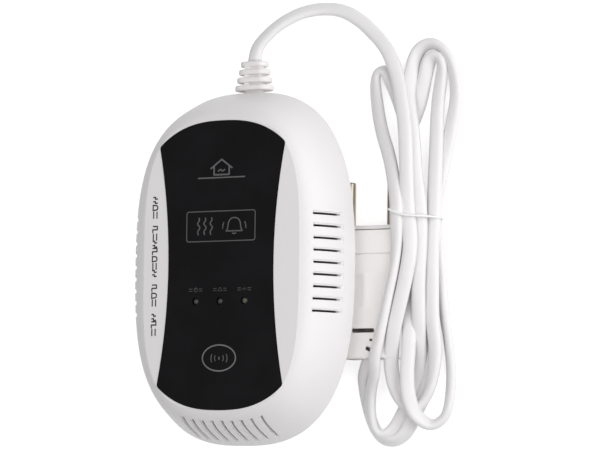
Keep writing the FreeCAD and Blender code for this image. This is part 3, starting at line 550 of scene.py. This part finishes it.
# Three rising draughts and a ringing bell in a frame; points are millimetres from the frame's middle
sign_y = 16.2
sign = [printed_ring("sign_frame", (0, sign_y / 1000), (0.0165, 0.0065), 0.00042, 0.0012)]
wave = [(0, -3.6), (-0.9, -2.3), (1.0, -0.4), (-1.0, 1.2), (0.7, 2.8), (0, 3.7)]
sign_lines = [("gas_wave", [(x + column, y) for x, y in wave], plain_line) for column in (-10.6, -7.6, -4.6)]
bell_x = 6.4
bell = [(-4.0, -2.2), (-3.1, -1.5), (-3.0, 1.0), (-2.0, 2.9), (0, 3.5), (2.0, 2.9), (3.0, 1.0), (3.1, -1.5),
        (4.0, -2.2)]
bell_parts = [("bell", bell, plain_line), ("bell_rim", [(-4.0, -2.2), (4.0, -2.2)], plain_line),
              ("clapper", [(-0.9, -3.0), (0, -3.7), (0.9, -3.0)], plain_line)]
for side in (-1, 1):
    bell_parts.append(("ringing", [(side * 4.9, 1.6), (side * 5.6, 0.2), (side * 5.5, -1.2)], thin_line))
sign_lines += [(name, [(x + bell_x, y) for x, y in points], line) for name, points, line in bell_parts]
for name, points, line in sign_lines:
    sign.append(printed_line(name, [(x, y + sign_y) for x, y in points], line))
printed_sign = join_pieces("printed_sign", sign)
finish_piece(printed_sign, print_ink("sign_ink", 0.105))

# A house with a draught in it, over a long line; points are millimetres
house_strokes = (("roof", [(-5.2, 40.4), (0, 44.2), (0, 44.2), (5.2, 40.4)], bold_line),
                 ("walls", [(-3.6, 41.2), (-3.6, 37.8), (-3.6, 37.8), (3.6, 37.8), (3.6, 37.8), (3.6, 41.2)],
                  bold_line),
                 ("draught", [(-1.6, 39.2), (-0.6, 40.4), (0.6, 38.9), (1.6, 40.1)], plain_line),
                 ("ground", [(-11.2, 36.6), (11.2, 36.6)], plain_line))
house = [printed_line(name, points, line) for name, points, line in house_strokes]
house_sign = join_pieces("house_sign", house)
finish_piece(house_sign, print_ink("house_ink", 0.12))

# A line in a ring for power, a bell for the alarm and a broken line for a fault, each between dashes
lamp_sign_y = -10.4
lamp_places = (-11.6, 0, 11.6)
dash_line = 0.0004
lamp_strokes = ((("power_line", [(0, 0), (0, 1.3)]),),
                (("alarm_bell", [(-0.9, -0.6), (-0.5, 0.5), (0, 0.9), (0.5, 0.5), (0.9, -0.6)]),
                 ("alarm_rim", [(-1.0, -0.6), (1.0, -0.6)])),
                (("fault_left", [(-1.1, 0), (-0.3, 0)]), ("fault_right", [(0.3, 0), (1.1, 0)]),
                 ("fault_break", [(-0.25, -0.7), (0.25, 0.7)])))
marks = [printed_ring("power_ring", (lamp_places[0] / 1000, lamp_sign_y / 1000), (0.0009, 0.0009), fine_line,
                      0.0008)]
for middle, lamp_sign in zip(lamp_places, lamp_strokes):
    for name, points in lamp_sign:
        marks.append(printed_line(name, [(middle + x, lamp_sign_y + y) for x, y in points], fine_line))
    for start, end in ((-3.2, -1.6), (1.6, 3.2)):
        for lift in (-0.45, 0.45):
            dash = [(middle + start, lamp_sign_y + lift), (middle + end, lamp_sign_y + lift)]
            marks.append(printed_line("dash", dash, dash_line))
lamp_marks = join_pieces("lamp_marks", marks)
finish_piece(lamp_marks, print_ink("small_ink", 0.05))

# An oval ring round the test key
key_low, key_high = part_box("test_button")
key_y = (key_low.y + key_high.y) / 2
ring_half_width, ring_half_height, ring_line = 0.00815, 0.0057, 0.00058
bpy.ops.object.select_all(action="DESELECT")
bpy.ops.mesh.primitive_cylinder_add(vertices=96, radius=1, depth=2 * print_lift, end_fill_type="NGON",
                                    location=(0, key_y, fascia_face),
                                    scale=(ring_half_width, ring_half_height, 1))
key_ring = bpy.context.object
key_ring.name = "key_ring"
bpy.ops.object.transform_apply(location=True, rotation=True, scale=True)
choose(key_ring, "FACE", lambda at, normal: abs(normal.z) > 0.9)
bpy.ops.mesh.inset(thickness=ring_line, depth=0, use_individual=True)
bpy.ops.mesh.bridge_edge_loops()
finish_edit(key_ring)
finish_piece(key_ring, print_ink("ring_ink", 0.16))
for mark in (house_sign, printed_sign, lamp_marks, key_ring):
    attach(mark, "case")


# ---------------------------------------------------------------------------------------------
# Case print: a row of small generic signs in dark grey ink, printed down the left of the white front,
# where such an alarm has its line of type: draughts, bells, pairs of dashes and steps.
front_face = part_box("front_cover")[1].z
row_x, row_top, row_pitch = -31.8, 28.0, 3.1
sign_shapes = {"draught": [[(-1.1, 1.2), (0.2, 1.7), (-0.3, 0.2), (1.1, 0.8)],
                           [(-1.1, -0.6), (0.2, -0.1), (-0.3, -1.6), (1.1, -1.0)]],
               "bell": [[(-1.1, -1.1), (-0.4, -1.0), (0.9, -0.9), (1.2, 0), (0.9, 0.9), (-0.4, 1.0),
                         (-1.1, 1.1)], [(-1.1, -1.4), (-1.1, 1.4)]],
               "dashes": [[(-0.8, -1.5), (-0.8, 1.5)], [(0.8, -1.5), (0.8, 1.5)]],
               "step": [[(-1.1, 1.4), (1.1, 1.4), (1.1, 1.4), (1.1, 0), (1.1, 0), (-1.1, 0), (-1.1, 0),
                         (-1.1, -1.4)]],
               "space": []}
sign_order = ("draught", "bell", "dashes", "space", "step", "dashes", "draught", "step", "bell", "dashes",
              "draught", "space", "step", "bell", "dashes", "space", "draught", "step", "dashes")
strokes = []
for place, kind in enumerate(sign_order):
    middle_y = row_top - place * row_pitch
    for stroke in sign_shapes[kind]:
        spots = [(row_x + x, middle_y + y) for x, y in stroke]
        strokes.append(printed_line("case_sign", spots, plain_line, front_face))
case_print = join_pieces("case_print", strokes)
finish_piece(case_print, print_ink("case_ink", 0.03))
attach(case_print, "case")


# ---------------------------------------------------------------------------------------------
# Lamps: three milky epoxy lamps with round tops, one over each black spacer on the board, level
# with the fascia. They are unlit; the last one is a little warmer in tone.
def lamp_resin(name, colour):
    """Milky epoxy over a dark chip, with a soft cloud in it."""
    material, nodes, links, shader, place = blank(name)
    shader.inputs["Roughness"].default_value = 0.15
    cloud = noise(nodes, links, place, 700)
    colour_by(nodes, links, shader, cloud, [c * 0.45 for c in colour], colour, 0.3, 0.7)
    raise_by(nodes, links, shader, cloud, 0.2, 0.00003)
    return material


dress(lamp_resin("green_lamp_resin", (0.07, 0.07, 0.07)), "power_lamp")
dress(lamp_resin("red_lamp_resin", (0.07, 0.066, 0.068)), "alarm_lamp")
dress(lamp_resin("yellow_lamp_resin", (0.13, 0.125, 0.085)), "fault_lamp")
dress(moulded("spacer_nylon", (0.02, 0.02, 0.02), 0.45, 0.0006, 0.00001, 0.2), "lamp_spacers")


# ---------------------------------------------------------------------------------------------
# Test key: a gloss black cap level with the fascia, printed with a dot between arcs; its stem presses
# the cream plunger of a small moulded switch that is soldered to the board.
dress(gloss_black("key_gloss", (0.0055, 0.005, 0.006), 0.22), "test_button")
press_y = -39.1
press_lines = [printed_line("press_dot", [(-0.35, press_y), (0.35, press_y)], 0.0013)]
for side in (-1, 1):
    for reach, rise in ((2.2, 1.2), (3.9, 1.7)):
        arc = [(side * (reach - 0.5), press_y - rise), (side * (reach + 0.35), press_y),
               (side * (reach - 0.5), press_y + rise)]
        press_lines.append(printed_line("press_arc", arc, 0.00045))
key_mark = join_pieces("key_mark", press_lines)
finish_piece(key_mark, print_ink("key_ink", 0.09))
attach(key_mark, "test_key")
dress(moulded("switch_nylon", (0.03, 0.03, 0.032), 0.4, 0.0005, 0.00001, 0.2), "switch_body")
dress(moulded("plunger_nylon", (0.72, 0.66, 0.52), 0.4, 0.0005, 0.00001), "switch_plunger")


# ---------------------------------------------------------------------------------------------
# Circuit board: glass epoxy under green solder mask, with copper tracks showing as paler lines. It
# hangs from the front cover's bosses on two small screws.
def solder_mask(name):
    """Green lacquer over a grid of tracks, with a slight weave in the board."""
    material, nodes, links, shader, place = blank(name)
    shader.inputs["Roughness"].default_value = 0.3
    tracks = nodes.new("ShaderNodeTexBrick")
    tracks.inputs["Scale"].default_value = 90
    tracks.inputs["Mortar Size"].default_value = 0.05
    tracks.inputs["Color1"].default_value = (0.010, 0.085, 0.030, 1)
    tracks.inputs["Color2"].default_value = (0.012, 0.100, 0.036, 1)
    tracks.inputs["Mortar"].default_value = (0.030, 0.210, 0.075, 1)
    weave = nodes.new("ShaderNodeTexVoronoi")
    weave.inputs["Scale"].default_value = 1400
    links.new(place, tracks.inputs["Vector"])
    links.new(place, weave.inputs["Vector"])
    links.new(tracks.outputs["Color"], shader.inputs["Base Color"])
    raise_by(nodes, links, shader, weave.outputs["Distance"], 0.3, 0.00004)
    return material


dress(solder_mask("green_board"), "circuit_board")
dress(moulded("chip_epoxy", (0.022, 0.022, 0.024), 0.5, 0.0004, 0.00001, 0.2), "microcontroller",
      "voltage_regulator")


# ---------------------------------------------------------------------------------------------
# Gas sensor and sounder: the sensor is a tinned steel can over a mesh on a resin base; the sounder
# is a black plastic drum that holds a thin brass disc. Both stand on the front of the board.
def wires(nodes, links, place, direction, pitch):
    """Parallel wires at a pitch, as a wave of heights across one direction."""
    pitch_at_scale_one = 0.314
    wave = nodes.new("ShaderNodeTexWave")
    wave.bands_direction = direction
    wave.inputs["Scale"].default_value = pitch_at_scale_one / pitch
    links.new(place, wave.inputs["Vector"])
    return wave


def woven_mesh(name, colour, pitch):
    """Fine steel gauze: two crossed sets of wires in height, and painted shade that turns the gaps between the
    wires nearly black.
    """
    material, nodes, links, shader, place = blank(name)
    shader.inputs["Metallic"].default_value = 1
    shader.inputs["Roughness"].default_value = 0.35
    crossed = nodes.new("ShaderNodeMath")
    crossed.operation = "MAXIMUM"
    for slot, direction in enumerate("XY"):
        links.new(wires(nodes, links, place, direction, pitch).outputs["Fac"], crossed.inputs[slot])
    # painted shade: the gaps between the wires go nearly black, as if in shadow
    colour_by(nodes, links, shader, crossed.outputs["Value"], (0.01, 0.01, 0.01), colour, 0.45, 0.75)
    raise_by(nodes, links, shader, crossed.outputs["Value"], 1, pitch / 3)
    return material


dress(drawn_metal("tinned_steel", (0.66, 0.66, 0.65), 0.28, (1, 1, 10)), "sensor_can", "fuse_clips")
dress(woven_mesh("steel_gauze", (0.6, 0.6, 0.6), 0.0005), "sensor_mesh")
dress(moulded("sensor_resin", (0.42, 0.10, 0.05), 0.45, 0.0006, 0.00001, 0.15), "sensor_base")
dress(moulded("sounder_plastic", (0.018, 0.018, 0.018), 0.35, 0.0006, 0.00001, 0.2), "sounder_case")
dress(drawn_metal("brass_disc", (0.75, 0.55, 0.22), 0.3, (10, 1, 1)), "sounder_disc")


# ---------------------------------------------------------------------------------------------
# Mains side: a small ferrite transformer with its enamelled winding, a sleeved capacitor, the glass
# fuse in its clips, and the green terminal block that takes the lead's two cores.
def wound_copper(name, colour, wire):
    """Enamelled wire wound in layers: close parallel turns, with painted shade as a dark line in the groove
    between them.
    """
    material, nodes, links, shader, place = blank(name)
    shader.inputs["Metallic"].default_value = 0.8
    shader.inputs["Roughness"].default_value = 0.3
    turns = wires(nodes, links, place, "Z", wire)
    turns.inputs["Distortion"].default_value = 0.4
    # painted shade: the copper darkens to a fifth of its tone in the grooves between the turns
    colour_by(nodes, links, shader, turns.outputs["Fac"], [c * 0.2 for c in colour], colour)
    raise_by(nodes, links, shader, turns.outputs["Fac"], 1, wire / 2)
    return material


def fuse_glass(name):
    """A glass tube with a nickel cap pushed on each end; the caps show by their place along X."""
    material, nodes, links, shader, place = blank(name)
    low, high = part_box("mains_fuse")
    cap_length = 0.005
    centred = nodes.new("ShaderNodeMapping")
    centred.inputs["Location"].default_value = (-(low.x + high.x) / 2, 0, 0)
    split = nodes.new("ShaderNodeSeparateXYZ")
    far = nodes.new("ShaderNodeMath")
    far.operation = "ABSOLUTE"
    cap = nodes.new("ShaderNodeMath")
    cap.operation = "GREATER_THAN"
    cap.inputs[1].default_value = (high.x - low.x) / 2 - cap_length
    clear = nodes.new("ShaderNodeMapRange")
    clear.inputs["To Min"].default_value = 0.85
    clear.inputs["To Max"].default_value = 0
    links.new(place, centred.inputs["Vector"])
    links.new(centred.outputs["Vector"], split.inputs["Vector"])
    links.new(split.outputs["X"], far.inputs[0])
    links.new(far.outputs["Value"], cap.inputs[0])
    capped = cap.outputs["Value"]
    links.new(capped, shader.inputs["Metallic"])
    links.new(capped, clear.inputs["Value"])
    links.new(clear.outputs["Result"], shader.inputs["Transmission Weight"])
    colour_by(nodes, links, shader, capped, (0.55, 0.62, 0.62), (0.70, 0.69, 0.66))
    gloss_by(nodes, links, shader, capped, 0.05, 0.3)
    return material


dress(moulded("ferrite", (0.035, 0.034, 0.036), 0.6, 0.0008, 0.00004, 0.3), "transformer_core")
dress(wound_copper("enamelled_wire", (0.62, 0.22, 0.07), 0.00035), "transformer_coil")
dress(moulded("capacitor_sleeve", (0.02, 0.03, 0.09), 0.3, 0.0009, 0.00001, 0.2), "smoothing_capacitor")
dress(fuse_glass("glass_and_caps"), "mains_fuse")
dress(moulded("terminal_nylon", (0.03, 0.22, 0.09), 0.42, 0.0006, 0.00001, 0.1), "wire_terminal")
dress(moulded("brown_core", (0.12, 0.045, 0.02), 0.4, 0.0006, 0.00001, 0.1), "live_wire")
dress(moulded("blue_core", (0.02, 0.07, 0.36), 0.4, 0.0006, 0.00001, 0.1), "neutral_wire")


# ---------------------------------------------------------------------------------------------
# Strain relief: a tapered sleeve of soft white PVC moulded on the cord: four rounded ribs on a thin
# core, joined by a web on each side. Its flange is trapped between the covers.
sleeve_z = relief_tip[2]
case_end = 0.075
neck_start, neck_end = 0.0550, 0.0725


def oval_block(name, half_width, half_height, low_y, high_y, edge):
    """A slice of the sleeve: a flat-sided oval across the cord, with its two rims rounded if edge isn't 0."""
    piece = block(name, (-half_width, low_y, sleeve_z - half_height),
                  (half_width, high_y, sleeve_z + half_height))
    choose(piece, "EDGE", lambda at, run: abs(run.y) > 0.9)
    bpy.ops.mesh.bevel(offset=half_height * 0.98, segments=10, affect="EDGES")
    if edge:
        choose(piece, "EDGE", lambda at, run: abs(run.y) < 0.1)
        bpy.ops.mesh.bevel(offset=edge, segments=3, affect="EDGES")
    finish_edit(piece)
    return piece


core_half_width, core_half_height = 0.0047, 0.0022
sleeve = oval_block("sleeve", core_half_width, core_half_height, case_end - 0.001, relief_tip[1], 0)
ribs = 4
rib_length, rib_rim = 0.0024, 0.0007
root_half_width, root_half_height = 0.0088, 0.0044
narrowing, flattening = 0.0008, 0.00027
first_rib = case_end + 0.0014
rib_pitch = (relief_tip[1] - rib_length - first_rib) / (ribs - 1)
for i in range(ribs):
    rib_start = first_rib + i * rib_pitch
    rib = oval_block("rib", root_half_width - narrowing * i, root_half_height - flattening * i,
                     rib_start, rib_start + rib_length, rib_rim)
    carve(sleeve, rib, "UNION")
web_off_middle, web_half_width, web_height, web_short = 0.0022, 0.0011, 0.0034, 0.001
for side in (-1, 1):
    web_x, web_z = side * web_off_middle, sleeve_z - side * web_height
    web = block("web", (web_x - web_half_width, first_rib + web_short, min(sleeve_z, web_z)),
                (web_x + web_half_width, relief_tip[1] - web_short, max(sleeve_z, web_z)))
    carve(sleeve, web, "UNION")
for name, half_width, half_height, low_y, high_y in (
        ("collar", 0.0079, 0.0041, neck_end, case_end),
        ("neck", 0.0059, 0.0032, neck_start - 0.0005, neck_end + 0.0005),
        ("flange", 0.0079, 0.0043, neck_start - 0.002, neck_start)):
    carve(sleeve, oval_block(name, half_width, half_height, low_y, high_y, 0), "UNION")
bpy.ops.object.shade_smooth_by_angle(angle=math.radians(32))
finish_piece(sleeve, moulded("sleeve_rubber", (0.86, 0.83, 0.83), 0.45, 0.0007, 0.00003))
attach(sleeve, "case")
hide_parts("strain_relief")


# ---------------------------------------------------------------------------------------------
# Floor and light: a white table that keeps a faint shadow, a soft light close by on the right, and a
# weak one high over the front. The table reads as plain white where it is fully lit.
bpy.ops.object.select_all(action="DESELECT")
bpy.ops.mesh.primitive_plane_add(size=6, location=(0, 0, -0.0002))
floor = bpy.context.object
floor.name = "floor"
floor_finish = bpy.data.materials.new("white_table")
floor_finish.use_nodes = True
floor_nodes, floor_links = floor_finish.node_tree.nodes, floor_finish.node_tree.links
floor_shader = floor_nodes["Principled BSDF"]
floor_shader.inputs["Base Color"].default_value = (0.86, 0.86, 0.86, 1)
floor_shader.inputs["Roughness"].default_value = 0.9
floor_shader.inputs["Specular IOR Level"].default_value = 0
floor_shader.inputs["Emission Color"].default_value = (1, 1, 1, 1)
rays = floor_nodes.new("ShaderNodeLightPath")
seen = floor_nodes.new("ShaderNodeMath")
seen.operation = "MAXIMUM"
seen_through = floor_nodes.new("ShaderNodeMath")
seen_through.operation = "MAXIMUM"
glow = floor_nodes.new("ShaderNodeMapRange")
glow.inputs["To Max"].default_value = 0.6
floor_links.new(rays.outputs["Is Camera Ray"], seen.inputs[0])
floor_links.new(rays.outputs["Is Glossy Ray"], seen.inputs[1])
floor_links.new(seen.outputs["Value"], seen_through.inputs[0])
floor_links.new(rays.outputs["Is Transmission Ray"], seen_through.inputs[1])
floor_links.new(seen_through.outputs["Value"], glow.inputs["Value"])
floor_links.new(glow.outputs["Result"], floor_shader.inputs["Emission Strength"])
finish_piece(floor, floor_finish)

world = bpy.data.worlds.new("studio")
bpy.context.scene.world = world
world.use_nodes = True
world.node_tree.nodes["Background"].inputs["Color"].default_value = (1, 1, 1, 1)
world.node_tree.nodes["Background"].inputs["Strength"].default_value = 0.373
lit_middle = Vector((0.02, 0, 0.02))
for name, place, size, power in (("soft_key", (0.52, 0.11, 0.34), 0.7, 2.9),
                                 ("fill", (0.05, -0.2, 1.4), 0.9, 4)):
    lamp_data = bpy.data.lights.new(name, "AREA")
    lamp_data.size = size
    lamp_data.energy = power
    lamp_light = bpy.data.objects.new(name, lamp_data)
    lamp_light.location = place
    lamp_light.rotation_euler = (Vector(place) - lit_middle).to_track_quat("Z", "Y").to_euler()
    bpy.context.collection.objects.link(lamp_light)
